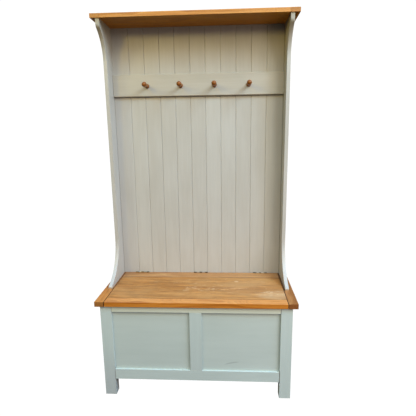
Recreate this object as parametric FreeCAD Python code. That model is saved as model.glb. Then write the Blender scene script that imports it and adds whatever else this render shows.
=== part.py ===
import FreeCAD, Part
import math
import os

# Settle bench: a storage chest with a hinged oak lid, and on it a high
# tongue-and-groove back between two shaped wings, with a peg rail and a top
# shelf. Millimetres. +X is to the right as seen from the front, +Y points to
# the wall, +Z is up. The origin is at floor level, in the middle of the width
# and of the depth.

os.makedirs("parts", exist_ok=True)

V = FreeCAD.Vector

# ---------------------------------------------------------------- overall
W = 1008.0              # width of the shelf, the widest piece
D = 430.0               # depth over the seat ends
seat_w = 998.0          # width over the seat ends
H = 1900.0              # height to the top of the shelf
SH = W / 2.0            # half the shelf
XH = seat_w / 2.0       # half the seat
YF = -D / 2.0           # front edge of the seat
YB = D / 2.0            # wall side

# ---------------------------------------------------------------- seat
seat_top = 517.0
seat_t = 25.0
seat_bot = seat_top - seat_t
seat_end_w = 46.0       # fixed cross piece at each end of the seat
lid_gap = 2.0           # between the lid and each fixed end
lid_half = XH - seat_end_w - lid_gap
lid_back_y = 192.0      # rear edge of the lid
lid_front_w = 50.0      # front rail of the lid
lid_rear_w = 70.0       # rear rail of the lid
lid_tongue = 8.0
lid_tongue_t = 9.0
batten_x = 300.0        # cross battens under the lid
batten_w = 40.0
batten_t = 18.0

# ---------------------------------------------------------------- chest
leg_out = 474.5         # outer faces of the legs
leg_w = 56.0            # leg width, across the front
leg_d = 45.0            # leg depth
leg_front = -206.0      # front face of the front legs
leg_in = leg_out - leg_w
rail_t = 22.0           # thickness of rails and muntin
rail_inset = 1.0        # rails stand this far behind the leg faces
top_rail_bot = 461.0
bot_rail_bot = 89.5
bot_rail_top = 145.5
muntin_w = 60.0
panel_t = 6.0
panel_recess = 10.0     # from the rail face to the panel face
panel_in = 7.0          # edge of a panel inside its groove
groove_d = 8.0
groove_play = 0.1
tenon_t = 8.0
tenon_l = 25.0
tenon_sh = 5.0          # shoulder above and below a rail's tenon
floor_bot = 108.0
floor_t = 9.0
bearer = 16.0

# ---------------------------------------------------------------- hutch
wing_in = 460.0
wing_t = 18.5
wing_out = wing_in + wing_t
wing_top_y = 15.0       # front edge of a wing under the shelf
wing_round = 22.0       # rounding where it runs into the upper sweep
wing_hi = (101.0, 1697.0)   # upper and lower end (y, z) of the straight middle
wing_lo = (113.5, 745.0)    # stretch of the front edge
wing_up_r = 170.0       # upper concave sweep
wing_tip_y = -47.0      # the toe
wing_tip_z = 529.0      # top of the blunt toe
shelf_t = 20.0
shelf_bot = H - shelf_t
shelf_front = 9.5
shelf_end_w = 47.0
shelf_tongue = 10.0
shelf_tongue_t = 6.0

board_front = 197.0
board_back = 209.0
board_n = 11
board_pitch = 82.0
board_v = 2.0           # chamfer of each board edge, half of the V
board_play = 0.1        # half of the play between two boards
tongue_l = 5.0
tongue_y0, tongue_y1 = 202.2, 205.2
board_into_wing = 7.0
board_into_shelf = 6.0
rebate = 8.0

peg_rail_bot = 1527.5
peg_rail_top = 1642.5
peg_rail_t = 16.0
peg_rail_front = board_front - peg_rail_t
peg_rail_gap = 1.0      # at each end of the peg rail
peg_x = (-272.7, -90.8, 90.8, 272.7)
peg_z = 1581.0
peg_spigot_r = 5.0
peg_spigot_l = 13.0

# ---------------------------------------------------------------- hinges
hinge_x = (-349.0, 0.0, 349.0)
hinge_len = 80.0
hinge_y = 193.0         # axis of the lid
hinge_z = 520.0
barrel_r = 2.8
pin_r = 1.4
pin_hole_r = 1.45
leaf_t = 0.95
leaf_bot = 495.5
knuckles = 5
knuckle_gap = 0.4


# ---------------------------------------------------------------- helpers
def box(x0, x1, y0, y1, z0, z1):
    x0, x1 = min(x0, x1), max(x0, x1)
    y0, y1 = min(y0, y1), max(y0, y1)
    z0, z1 = min(z0, z1), max(z0, z1)
    return Part.makeBox(x1 - x0, y1 - y0, z1 - z0, V(x0, y0, z0))


def cyl(x, y, z, d, r, h):
    return Part.makeCylinder(r, h, V(x, y, z), V(*d))


def poly(pts, vec):
    pts = [V(*p) for p in pts]
    return Part.Face(Part.makePolygon(pts + [pts[0]])).extrude(V(*vec))


def screw(x, y, z, d, length, r=1.9, head=3.6, head_l=2.2):
    # countersunk wood screw: d points into the wood, (x, y, z) is the middle
    # of the flat head, and a shallow cross is cut in it
    dv = V(*d)
    p = V(x, y, z)
    s = Part.makeCone(head, r, head_l, p, dv)
    s = s.fuse(Part.makeCylinder(r, length - head_l - r, p + dv * head_l, dv))
    s = s.fuse(Part.makeCone(r, 0.3, r * 1.2, p + dv * (length - r), dv))
    s = s.removeSplitter()
    return s


def cross(x, y, z, d, size=1.7, w=0.5, depth=0.9):
    # recess for the driver
    if abs(d[1]) > 0.5:
        a = box(x - size, x + size, y, y + d[1] * depth, z - w, z + w)
        b = box(x - w, x + w, y, y + d[1] * depth, z - size, z + size)
    else:
        a = box(x - size, x + size, y - w, y + w, z, z + d[2] * depth)
        b = box(x - w, x + w, y - size, y + size, z, z + d[2] * depth)
    return a.fuse(b)


parts = {}


def add(name, shape):
    parts[name] = shape


def cut_all(shape, tools):
    for t in tools:
        shape = shape.cut(t)
    return shape


# ================================================================ chest
# rails and muntin of the front frame
rf = leg_front + rail_inset             # front face of the rails
rb = rf + rail_t                        # their back face
ten_y0 = rf + 9.0
ten_y1 = ten_y0 + tenon_t
pan_y0 = rf + panel_recess
pan_y1 = pan_y0 + panel_t
mh = muntin_w / 2.0


def front_rail(z0, z1):
    s = box(-leg_in, leg_in, rf, rb, z0, z1)
    s = s.fuse(box(-leg_in - tenon_l, leg_in + tenon_l, ten_y0, ten_y1, z0 + tenon_sh, z1 - tenon_sh))
    return s.removeSplitter()


front_top = front_rail(top_rail_bot, seat_bot)
front_bot = front_rail(bot_rail_bot, bot_rail_top)
mt = 12.0                               # tenon of the muntin
muntin = box(-mh, mh, rf, rb, bot_rail_top, top_rail_bot)
muntin = muntin.fuse(box(-mh + 8, mh - 8, ten_y0, ten_y1, bot_rail_top - mt, top_rail_bot + mt)).removeSplitter()


def groove_y(x0, x1, z0, z1):
    return box(x0, x1, pan_y0 - groove_play, pan_y1 + groove_play, z0, z1)


def front_panel(x0, x1):
    return box(x0 - panel_in, x1 + panel_in, pan_y0, pan_y1,
               bot_rail_top - panel_in, top_rail_bot + panel_in)


panel_l = front_panel(-leg_in, -mh)
panel_r = front_panel(mh, leg_in)
g_l = groove_y(-leg_in - groove_d, -mh + groove_d, bot_rail_top - groove_d, top_rail_bot + groove_d)
g_r = groove_y(mh - groove_d, leg_in + groove_d, bot_rail_top - groove_d, top_rail_bot + groove_d)
front_top = cut_all(front_top, [g_l, g_r, muntin])
front_bot = cut_all(front_bot, [g_l, g_r, muntin])
muntin = cut_all(muntin, [g_l, g_r])

# rear frame, its rails 2 mm in front of the wall side
rear_face = board_back
rr0 = rear_face - rail_t
leg_rear0 = YB - leg_d
rt0 = rr0 + 7.0
rt1 = rt0 + tenon_t
rp0 = rr0 + 8.0
rp1 = rp0 + panel_t


def rear_rail(z0, z1):
    s = box(-leg_in, leg_in, rr0, rear_face, z0, z1)
    s = s.fuse(box(-leg_in - tenon_l, leg_in + tenon_l, rt0, rt1, z0 + tenon_sh, z1 - tenon_sh))
    return s.removeSplitter()


rear_top = rear_rail(top_rail_bot, seat_bot)
rear_bot = rear_rail(bot_rail_bot, bot_rail_top)
rear_panel = box(-leg_in - panel_in, leg_in + panel_in, rp0, rp1,
                 bot_rail_top - panel_in, top_rail_bot + panel_in)
g_rear = box(-leg_in - groove_d, leg_in + groove_d, rp0 - groove_play, rp1 + groove_play,
             bot_rail_top - groove_d, top_rail_bot + groove_d)
rear_top = rear_top.cut(g_rear)
rear_bot = rear_bot.cut(g_rear)

# side frames
leg_front1 = leg_front + leg_d
sx_out = leg_out - rail_inset           # outer face of the side rails
sx_in = sx_out - rail_t
st1 = sx_out - 9.0
st0 = st1 - tenon_t
sp1 = sx_out - panel_recess
sp0 = sp1 - panel_t
side_ten = 20.0


def side_rail(s, z0, z1):
    b = box(s * sx_in, s * sx_out, leg_front1, leg_rear0, z0, z1)
    b = b.fuse(box(s * st0, s * st1, leg_front1 - side_ten, leg_rear0 + side_ten,
                   z0 + tenon_sh, z1 - tenon_sh))
    return b.removeSplitter()


side = {}
for s, n in ((-1, "left"), (1, "right")):
    g = box(s * (sp0 - groove_play), s * (sp1 + groove_play), leg_front1 - groove_d,
            leg_rear0 + groove_d, bot_rail_top - groove_d, top_rail_bot + groove_d)
    side[n] = {
        "top": side_rail(s, top_rail_bot, seat_bot).cut(g),
        "bot": side_rail(s, bot_rail_bot, bot_rail_top).cut(g),
        "panel": box(s * sp0, s * sp1, leg_front1 - panel_in, leg_rear0 + panel_in,
                     bot_rail_top - panel_in, top_rail_bot + panel_in),
        "groove": g,
    }


# the front and rear tenons stop short of the end of their mortises
def clip_front_tenon(rail):
    for s in (-1, 1):
        rail = rail.cut(box(s * (leg_in + tenon_l - 0.5), s * (leg_in + tenon_l + 1), YF, YB, 0, H))
    return rail


front_top = clip_front_tenon(front_top)
front_bot = clip_front_tenon(front_bot)
rear_top = clip_front_tenon(rear_top)
rear_bot = clip_front_tenon(rear_bot)

legs = {}
for s, n in ((-1, "left"), (1, "right")):
    fl = box(s * leg_in, s * leg_out, leg_front, leg_front1, 0, seat_bot)
    fl = cut_all(fl, [front_top, front_bot, g_l if s < 0 else g_r,
                      side[n]["top"], side[n]["bot"], side[n]["groove"]])
    rl = box(s * leg_in, s * leg_out, leg_rear0, YB, 0, seat_bot)
    rl = cut_all(rl, [rear_top, rear_bot, g_rear, side[n]["top"], side[n]["bot"], side[n]["groove"]])
    legs["front_" + n] = fl
    legs["rear_" + n] = rl

# floor of the chest on bearers glued along the bottom rails
bz0 = floor_bot - bearer
bearers = [
    box(-leg_in, leg_in, rb, rb + bearer, bz0, floor_bot),
    box(-leg_in, leg_in, rr0 - bearer, rr0, bz0, floor_bot),
    box(-sx_in, -sx_in + bearer, leg_front1, leg_rear0, bz0, floor_bot),
    box(sx_in - bearer, sx_in, leg_front1, leg_rear0, bz0, floor_bot),
]
bearers_shape = Part.makeCompound(bearers)
floor = box(-sx_in + 1, sx_in - 1, rb + 1, rr0 - 1, floor_bot, floor_bot + floor_t)
for sx in (-1, 1):
    floor = floor.cut(box(sx * (leg_in - 1), sx * leg_out, leg_front, leg_front1 + 1, 0, H))
    floor = floor.cut(box(sx * (leg_in - 1), sx * leg_out, leg_rear0 - 1, YB, 0, H))

# ================================================================ seat
# fixed ends of the seat, grain running front to back
ends = {}
for s, n in ((-1, "left"), (1, "right")):
    ends[n] = box(s * (XH - seat_end_w), s * XH, YF, YB, seat_bot, seat_top)

# narrow rail behind the lid, tenoned into the two ends; the hinges sit on it
seat_rear = box(-(XH - seat_end_w), XH - seat_end_w, hinge_y + 1.0, board_back, seat_bot, seat_top)
seat_rear = seat_rear.fuse(box(-(XH - seat_end_w) - 12, XH - seat_end_w + 12,
                               hinge_y + 4.0, board_back - 3.0, seat_bot + 7, seat_top - 7)).removeSplitter()
for n in ends:
    ends[n] = ends[n].cut(seat_rear)

# lid: front rail, panel and rear rail, glued with tongues
lid_y1 = YF + lid_front_w
lid_y2 = lid_back_y - lid_rear_w
lt0 = seat_bot + (seat_t - lid_tongue_t) / 2.0
lt1 = lt0 + lid_tongue_t
lid_panel = box(-lid_half, lid_half, lid_y1, lid_y2, seat_bot, seat_top)
lid_panel = lid_panel.fuse(box(-lid_half + 15, lid_half - 15, lid_y1 - lid_tongue, lid_y2 + lid_tongue,
                               lt0, lt1)).removeSplitter()
lid_front = box(-lid_half, lid_half, YF, lid_y1, seat_bot, seat_top).cut(lid_panel)
lid_rear = box(-lid_half, lid_half, lid_y2, lid_back_y, seat_bot, seat_top).cut(lid_panel)

battens = []
batten_screws = []
batten_cross = []
for bx in (-batten_x, batten_x):
    b = box(bx - batten_w / 2, bx + batten_w / 2, lid_y1 + 15, lid_y2 - 5, seat_bot - batten_t, seat_bot)
    # sloped ends
    for yy, sgn in ((lid_y1 + 15, 1), (lid_y2 - 5, -1)):
        w = poly([(bx - batten_w, yy, seat_bot - batten_t), (bx - batten_w, yy + sgn * 12, seat_bot - batten_t),
                  (bx - batten_w, yy, seat_bot - batten_t + 12)], (2 * batten_w, 0, 0))
        b = b.cut(w)
    battens.append(b)
    for by in (lid_y1 + 45, (lid_y1 + lid_y2) / 2, lid_y2 - 35):
        batten_screws.append(screw(bx, by, seat_bot - batten_t, (0, 0, 1), 36.0))
        batten_cross.append(cross(bx, by, seat_bot - batten_t, (0, 0, 1)))
battens_shape = Part.makeCompound([cut_all(b, batten_screws) for b in battens])
lid_panel = cut_all(lid_panel, batten_screws)

# ================================================================ hinges
fixed_leaves, lid_leaves, pins = [], [], []
fixed_screws, lid_screws, fixed_cross, lid_cross = [], [], [], []
kl = hinge_len / knuckles
for hx in hinge_x:
    x0 = hx - hinge_len / 2
    hole = cyl(x0 - 1, hinge_y, hinge_z, (1, 0, 0), pin_hole_r, hinge_len + 2)
    barrel = cyl(x0, hinge_y, hinge_z, (1, 0, 0), barrel_r, hinge_len)
    fl = box(x0, x0 + hinge_len, hinge_y + 1 - leaf_t, hinge_y + 1, leaf_bot, hinge_z)
    ll = box(x0, x0 + hinge_len, hinge_y - 1, hinge_y - 1 + leaf_t, leaf_bot, hinge_z)
    fl = fl.fuse(barrel)
    ll = ll.fuse(barrel)
    for k in range(knuckles):
        big_a = x0 + k * kl - (1 if k == 0 else knuckle_gap / 2)
        big_b = x0 + (k + 1) * kl + (1 if k == knuckles - 1 else knuckle_gap / 2)
        # clear the other leaf's knuckle and a little of its own leaf below it
        gap = box(big_a, big_b, hinge_y - 4, hinge_y + 4, hinge_z - barrel_r - 1.0, hinge_z + 4)
        if k % 2 == 0:
            ll = ll.cut(gap)
        else:
            fl = fl.cut(gap)
    fl = fl.cut(hole)
    ll = ll.cut(hole)
    fl = fl.removeSplitter()
    ll = ll.removeSplitter()
    pin = cyl(x0 - 0.9, hinge_y, hinge_z, (1, 0, 0), pin_r, hinge_len + 1.8)
    for xe, d in ((x0 - 0.1, -1), (x0 + hinge_len + 0.1, 1)):
        pin = pin.fuse(Part.makeCone(2.3, 1.6, 1.1, V(xe, hinge_y, hinge_z), V(d, 0, 0)))
    pins.append(pin.removeSplitter())
    for dx, sz in ((-29.0, 511.5), (0.0, 501.5), (29.0, 511.5)):
        fs = screw(hx + dx, hinge_y + 1 - leaf_t, sz, (0, 1, 0), 12.5, 1.4, 2.7, 1.8)
        ls = screw(hx + dx, hinge_y - 1 + leaf_t, sz, (0, -1, 0), 19.0, 1.4, 2.7, 1.8)
        fixed_screws.append(fs)
        lid_screws.append(ls)
        fixed_cross.append(cross(hx + dx, hinge_y + 1 - leaf_t, sz, (0, 1, 0), 1.4, 0.4, 0.8))
        lid_cross.append(cross(hx + dx, hinge_y - 1 + leaf_t, sz, (0, -1, 0), 1.4, 0.4, 0.8))
        fl = fl.cut(fs)
        ll = ll.cut(ls)
    fixed_leaves.append(fl)
    lid_leaves.append(ll)
seat_rear = cut_all(seat_rear, fixed_screws)
lid_rear = cut_all(lid_rear, lid_screws)
fixed_screws = [s.cut(c) for s, c in zip(fixed_screws, fixed_cross)]
lid_screws = [s.cut(c) for s, c in zip(lid_screws, lid_cross)]

# ================================================================ wings
def unit(a, b):
    d = math.hypot(b[0] - a[0], b[1] - a[1])
    return ((b[0] - a[0]) / d, (b[1] - a[1]) / d)


down = unit(wing_hi, wing_lo)           # along the middle stretch
side_n = (down[1], -down[0])            # square to it, away from the wall
if side_n[0] > 0:
    side_n = (-side_n[0], -side_n[1])
# the upper sweep touches the middle stretch, and so does the lower one, which
# also runs through the top of the toe
up_c = (wing_hi[0] + side_n[0] * wing_up_r, wing_hi[1] + side_n[1] * wing_up_r)
gy, gz = wing_tip_y - wing_lo[0], wing_tip_z - wing_lo[1]
wing_lo_r = (gy * gy + gz * gz) / (2.0 * (gy * side_n[0] + gz * side_n[1]))
lo_c = (wing_lo[0] + side_n[0] * wing_lo_r, wing_lo[1] + side_n[1] * wing_lo_r)
# rounding between the short upright stretch at the top and the upper sweep
rd_y = wing_top_y + wing_round
rd_z = up_c[1] + math.sqrt((wing_up_r + wing_round) ** 2 - (rd_y - up_c[0]) ** 2)
rd_d = unit(up_c, (rd_y, rd_z))
rd_end = (up_c[0] + rd_d[0] * wing_up_r, up_c[1] + rd_d[1] * wing_up_r)


def between(c, r, p, q):
    # the point of a circle half way between two others on it
    m = unit(c, ((p[0] + q[0]) / 2.0, (p[1] + q[1]) / 2.0))
    return (c[0] + m[0] * r, c[1] + m[1] * r)


def wing(s):
    x = s * wing_in

    def p(a):
        return V(x, a[0], a[1])

    tip = (wing_tip_y, wing_tip_z)
    nose = (wing_tip_y - 3.0, wing_tip_z - 6.0)
    heel = (wing_tip_y - 2.0, seat_top)
    rd_top = (wing_top_y, rd_z)
    e = [
        Part.LineSegment(p((YB, seat_top)), p((YB, shelf_bot))).toShape(),
        Part.LineSegment(p((YB, shelf_bot)), p((wing_top_y, shelf_bot))).toShape(),
        Part.LineSegment(p((wing_top_y, shelf_bot)), p(rd_top)).toShape(),
        Part.Arc(p(rd_top), p(between((rd_y, rd_z), wing_round, rd_top, rd_end)), p(rd_end)).toShape(),
        Part.Arc(p(rd_end), p(between(up_c, wing_up_r, rd_end, wing_hi)), p(wing_hi)).toShape(),
        Part.LineSegment(p(wing_hi), p(wing_lo)).toShape(),
        Part.Arc(p(wing_lo), p(between(lo_c, wing_lo_r, wing_lo, tip)), p(tip)).toShape(),
        # blunt rounded toe: the sweep runs out into a small nose
        Part.Arc(p(tip), p((wing_tip_y - 2.4, wing_tip_z - 3.0)), p(nose)).toShape(),
        Part.LineSegment(p(nose), p(heel)).toShape(),
        Part.LineSegment(p(heel), p((YB, seat_top))).toShape(),
    ]
    f = Part.Face(Part.Wire(e))
    w = f.extrude(V(s * wing_t, 0, 0))
    # rebate for the outer back board, open to the wall side
    w = w.cut(box(s * wing_in, s * (wing_in + rebate), board_front, YB, seat_top - 1, shelf_bot + 1))
    return w


wings = {"left": wing(-1), "right": wing(1)}

# dowels between the wings and the seat ends, and between wings and shelf
dowel_r = 4.0
dowel_play = 0.05
wing_dowels, shelf_dowels, holes_seat, holes_shelf = [], [], [], []
xm = (wing_in + wing_out) / 2.0 + 2.0
for s in (-1, 1):
    for y in (0.0, 90.0, 180.0):
        wing_dowels.append(cyl(s * xm, y, seat_top - 19, (0, 0, 1), dowel_r, 38))
        holes_seat.append(cyl(s * xm, y, seat_top - 20, (0, 0, 1), dowel_r + dowel_play, 40))
    for y in (60.0, 170.0):
        shelf_dowels.append(cyl(s * xm, y, shelf_bot - 19, (0, 0, 1), dowel_r, 29))
        holes_shelf.append(cyl(s * xm, y, shelf_bot - 20, (0, 0, 1), dowel_r + dowel_play, 31))
for n in wings:
    wings[n] = cut_all(wings[n], holes_seat + holes_shelf)
    ends[n] = cut_all(ends[n], holes_seat)

# screws that hold the seat ends, from below through the side rails
seat_end_screws, seat_end_cross = [], []
for s, n in ((-1, "left"), (1, "right")):
    xs = s * (sx_in + sx_out) / 2.0
    for y in (-110.0, 4.0, 118.0):
        sc = screw(xs, y, top_rail_bot, (0, 0, 1), 50.0)
        seat_end_screws.append(sc)
        seat_end_cross.append(cross(xs, y, top_rail_bot, (0, 0, 1)))
        side[n]["top"] = side[n]["top"].cut(sc)
        side[n]["panel"] = side[n]["panel"].cut(box(xs - 5, xs + 5, y - 5, y + 5, top_rail_bot, seat_bot))
        ends[n] = ends[n].cut(sc)
seat_end_screws = [s.cut(c) for s, c in zip(seat_end_screws, seat_end_cross)]

# ================================================================ back boards
edges = [-wing_in] + [(i - (board_n - 2) / 2.0) * board_pitch for i in range(board_n - 1)] + [wing_in]
boards = []
for i in range(board_n):
    xl, xr = edges[i], edges[i + 1]
    first, last = i == 0, i == board_n - 1
    xa = xl - board_into_wing if first else xl + board_play
    xb = xr + board_into_wing if last else xr - board_play
    f, b, c = board_front, board_back, board_v
    z0 = seat_top
    pts = []
    pts += [(xa, f, z0)] if first else [(xa + c, f, z0)]
    if last:
        pts += [(xb, f, z0), (xb, b, z0)]
    else:
        pts += [(xb - c, f, z0), (xb, f + c, z0), (xb, tongue_y0, z0), (xb + tongue_l, tongue_y0, z0),
                (xb + tongue_l, tongue_y1, z0), (xb, tongue_y1, z0), (xb, b, z0)]
    if first:
        pts += [(xa, b, z0)]
    else:
        gd = tongue_l + 0.6
        pts += [(xa, b, z0), (xa, tongue_y1 + 0.1, z0), (xa + gd, tongue_y1 + 0.1, z0),
                (xa + gd, tongue_y0 - 0.1, z0), (xa, tongue_y0 - 0.1, z0), (xa, f + c, z0)]
    boards.append(poly(pts, (0, 0, shelf_bot + board_into_shelf - seat_top)))

# ================================================================ peg rail
peg_rail = box(-wing_in + peg_rail_gap, wing_in - peg_rail_gap, peg_rail_front, board_front, peg_rail_bot, peg_rail_top)
# small chamfers along its lower and upper front edges
for zz, sg in ((peg_rail_bot, 1), (peg_rail_top, -1)):
    peg_rail = peg_rail.cut(poly([(-wing_in, peg_rail_front, zz), (-wing_in, peg_rail_front + 3, zz),
                                  (-wing_in, peg_rail_front, zz + sg * 3)], (2 * wing_in, 0, 0)))

peg_rail_screws, peg_rail_cross = [], []
for i in (1, 3, 5, 7, 9):
    xc = (edges[i] + edges[i + 1]) / 2.0
    for z in (peg_rail_bot + 24, peg_rail_top - 24):
        peg_rail_screws.append(screw(xc, board_back, z, (0, -1, 0), 24.0))
        peg_rail_cross.append(cross(xc, board_back, z, (0, -1, 0)))
peg_rail = cut_all(peg_rail, peg_rail_screws)
for i in (1, 3, 5, 7, 9):
    boards[i] = cut_all(boards[i], peg_rail_screws)


def peg(x):
    # turned peg: (distance from the rail face, radius)
    y0 = peg_rail_front
    prof = [(0.0, 10.4), (1.4, 11.9), (3.6, 12.4), (5.8, 12.2), (8.2, 11.0), (11.5, 9.0), (17.0, 7.4), (26.0, 6.7),
            (36.0, 6.8), (46.0, 7.6), (54.0, 9.2), (60.5, 11.2), (66.0, 12.6), (71.5, 13.1), (77.0, 12.6),
            (82.0, 10.8), (85.8, 7.8), (87.9, 4.2)]
    tip = 88.6
    pts = [V(x + r, y0 - d, peg_z) for d, r in prof]
    a = V(x, y0 + peg_spigot_l, peg_z)
    e = []
    e.append(Part.LineSegment(a, V(x + peg_spigot_r, y0 + peg_spigot_l, peg_z)).toShape())
    e.append(Part.LineSegment(V(x + peg_spigot_r, y0 + peg_spigot_l, peg_z), V(x + peg_spigot_r, y0, peg_z)).toShape())
    e.append(Part.LineSegment(V(x + peg_spigot_r, y0, peg_z), pts[0]).toShape())
    sp = Part.BSplineCurve()
    sp.interpolate(pts + [V(x, y0 - tip, peg_z)])
    e.append(sp.toShape())
    e.append(Part.LineSegment(V(x, y0 - tip, peg_z), a).toShape())
    f = Part.Face(Part.Wire(e))
    return f.revolve(V(x, 0, peg_z), V(0, 1, 0), 360)


pegs = [peg(x) for x in peg_x]
for x in peg_x:
    peg_rail = peg_rail.cut(cyl(x, peg_rail_front - 1, peg_z, (0, 1, 0), peg_spigot_r + dowel_play, 1 + peg_spigot_l + 0.5))

# ================================================================ shelf
sl = SH - shelf_end_w
t0 = shelf_bot + (shelf_t - shelf_tongue_t) / 2.0
shelf_board = box(-sl, sl, shelf_front, YB, shelf_bot, H)
shelf_board = shelf_board.fuse(box(-sl - shelf_tongue, sl + shelf_tongue, shelf_front + 15, YB - 25,
                                   t0, t0 + shelf_tongue_t)).removeSplitter()
shelf_ends = {}
groove_b = box(-wing_in - rebate, wing_in + rebate, board_front - 0.1, board_back + 0.1,
               shelf_bot - 1, shelf_bot + board_into_shelf + 0.3)
for s, n in ((-1, "left"), (1, "right")):
    e = box(s * sl, s * SH, shelf_front, YB, shelf_bot, H).cut(shelf_board)
    e = e.cut(groove_b)
    shelf_ends[n] = cut_all(e, holes_shelf)
shelf_board = shelf_board.cut(groove_b)
shelf_board = cut_all(shelf_board, holes_shelf)

# ================================================================ joining plates
# four flat plates across the joint between chest and hutch, on the wall side,
# clear of the hinge screws
plate_w, plate_h, plate_t = 30.0, 96.0, 2.0
plates, plate_screws, plate_cross = [], [], []
plate_boards = (1, 4, 6, 9)
for i in plate_boards:
    xc = (edges[i] + edges[i + 1]) / 2.0
    pl = box(xc - plate_w / 2, xc + plate_w / 2, board_back, board_back + plate_t,
             seat_top - 48, seat_top - 48 + plate_h)
    for dz in (-38.0, -16.0, 14.0, 36.0):
        sc = screw(xc, board_back + plate_t, seat_top + dz, (0, -1, 0), 14.0)
        plate_screws.append(sc)
        plate_cross.append(cross(xc, board_back + plate_t, seat_top + dz, (0, -1, 0)))
        pl = pl.cut(sc)
    plates.append(pl.removeSplitter())
for i in plate_boards:
    boards[i] = cut_all(boards[i], plate_screws)
seat_rear = cut_all(seat_rear, plate_screws)
rear_top = cut_all(rear_top, plate_screws)
plate_screws = [s.cut(c) for s, c in zip(plate_screws, plate_cross)]
peg_rail_screws = [s.cut(c) for s, c in zip(peg_rail_screws, peg_rail_cross)]
batten_screws = [s.cut(c) for s, c in zip(batten_screws, batten_cross)]

# ================================================================ nodes
add("front_left_leg", legs["front_left"])
add("front_right_leg", legs["front_right"])
add("rear_left_leg", legs["rear_left"])
add("rear_right_leg", legs["rear_right"])
add("front_top_rail", front_top)
add("front_bottom_rail", front_bot)
add("front_muntin", muntin)
add("front_left_panel", panel_l)
add("front_right_panel", panel_r)
for n in ("left", "right"):
    add(n + "_side_top_rail", side[n]["top"])
    add(n + "_side_bottom_rail", side[n]["bot"])
    add(n + "_side_panel", side[n]["panel"])
add("rear_top_rail", rear_top)
add("rear_bottom_rail", rear_bot)
add("rear_panel", rear_panel)
add("chest_floor", floor)
add("floor_bearers", bearers_shape)
add("seat_end_left", ends["left"])
add("seat_end_right", ends["right"])
add("seat_rear_rail", seat_rear)
add("seat_end_screws", Part.makeCompound(seat_end_screws))
add("left_wing", wings["left"])
add("right_wing", wings["right"])
for i, b in enumerate(boards):
    add("back_board_%02d" % (i + 1), b)
add("peg_rail", peg_rail)
for i, p in enumerate(pegs):
    add("coat_peg_%d" % (i + 1), p)
add("peg_rail_screws", Part.makeCompound(peg_rail_screws))
add("shelf_board", shelf_board)
add("shelf_end_left", shelf_ends["left"])
add("shelf_end_right", shelf_ends["right"])
add("wing_dowels", Part.makeCompound(wing_dowels))
add("shelf_dowels", Part.makeCompound(shelf_dowels))
add("joining_plates", Part.makeCompound(plates))
add("joining_plate_screws", Part.makeCompound(plate_screws))
add("hinge_fixed_leaves", Part.makeCompound(fixed_leaves))
add("hinge_pins", Part.makeCompound(pins))
add("hinge_fixed_screws", Part.makeCompound(fixed_screws))
add("lid_panel", lid_panel)
add("lid_front_rail", lid_front)
add("lid_rear_rail", lid_rear)
add("lid_battens", battens_shape)
add("lid_batten_screws", Part.makeCompound(batten_screws))
add("hinge_lid_leaves", Part.makeCompound(lid_leaves))
add("hinge_lid_screws", Part.makeCompound(lid_screws))

for name, shape in parts.items():
    n = len(shape.Solids)
    ok = shape.isValid() and n > 0 and all(s.isClosed() for s in shape.Shells)
    print("%-24s solids %2d  volume %10.1f  valid %s" % (name, n, shape.Volume, ok))
    if n == 1 and shape.ShapeType != "Solid":
        shape = shape.Solids[0]
    shape.exportStep("parts/%s.step" % name)
print(len(parts), "nodes")
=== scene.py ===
import math
import random

import bpy
import bmesh
from mathutils import Matrix, Vector

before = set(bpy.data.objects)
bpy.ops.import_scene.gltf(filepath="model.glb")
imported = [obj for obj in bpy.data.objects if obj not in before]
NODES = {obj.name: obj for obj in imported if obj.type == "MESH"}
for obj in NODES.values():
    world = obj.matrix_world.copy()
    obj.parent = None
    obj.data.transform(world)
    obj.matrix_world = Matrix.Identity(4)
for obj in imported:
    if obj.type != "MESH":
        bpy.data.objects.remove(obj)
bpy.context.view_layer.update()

scene = bpy.context.scene

# ------------------------------------------------------------------ camera
CAM = Vector((0.16085, -1.87058, 1.31227))
YAW, PITCH, ROLL = math.radians(3.148), math.radians(-11.048), math.radians(-0.725)
F_PX = 367.29


def add_camera():
    f = Vector((-math.sin(YAW) * math.cos(PITCH), math.cos(YAW) * math.cos(PITCH), math.sin(PITCH)))
    r = Vector((math.cos(YAW), math.sin(YAW), 0.0))
    u = r.cross(f)
    r2 = r * math.cos(ROLL) + u * math.sin(ROLL)
    u2 = -r * math.sin(ROLL) + u * math.cos(ROLL)
    m = Matrix((
        (r2.x, u2.x, -f.x, CAM.x),
        (r2.y, u2.y, -f.y, CAM.y),
        (r2.z, u2.z, -f.z, CAM.z),
        (0, 0, 0, 1)))
    data = bpy.data.cameras.new("camera")
    data.sensor_width = 36.0
    data.lens = F_PX / 416.0 * 36.0
    data.clip_start, data.clip_end = 0.05, 200.0
    cam = bpy.data.objects.new("camera", data)
    scene.collection.objects.link(cam)
    cam.matrix_world = m
    scene.camera = cam


add_camera()

scene.view_settings.view_transform = "Standard"
scene.view_settings.look = "None"
scene.view_settings.exposure = 0.0
scene.view_settings.gamma = 1.0


# ------------------------------------------------------------------ node helper
def lin(r, g, b):
    def c(v):
        v = v / 255.0
        return v / 12.92 if v <= 0.04045 else ((v + 0.055) / 1.055) ** 2.4
    return (c(r), c(g), c(b), 1.0)


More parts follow.
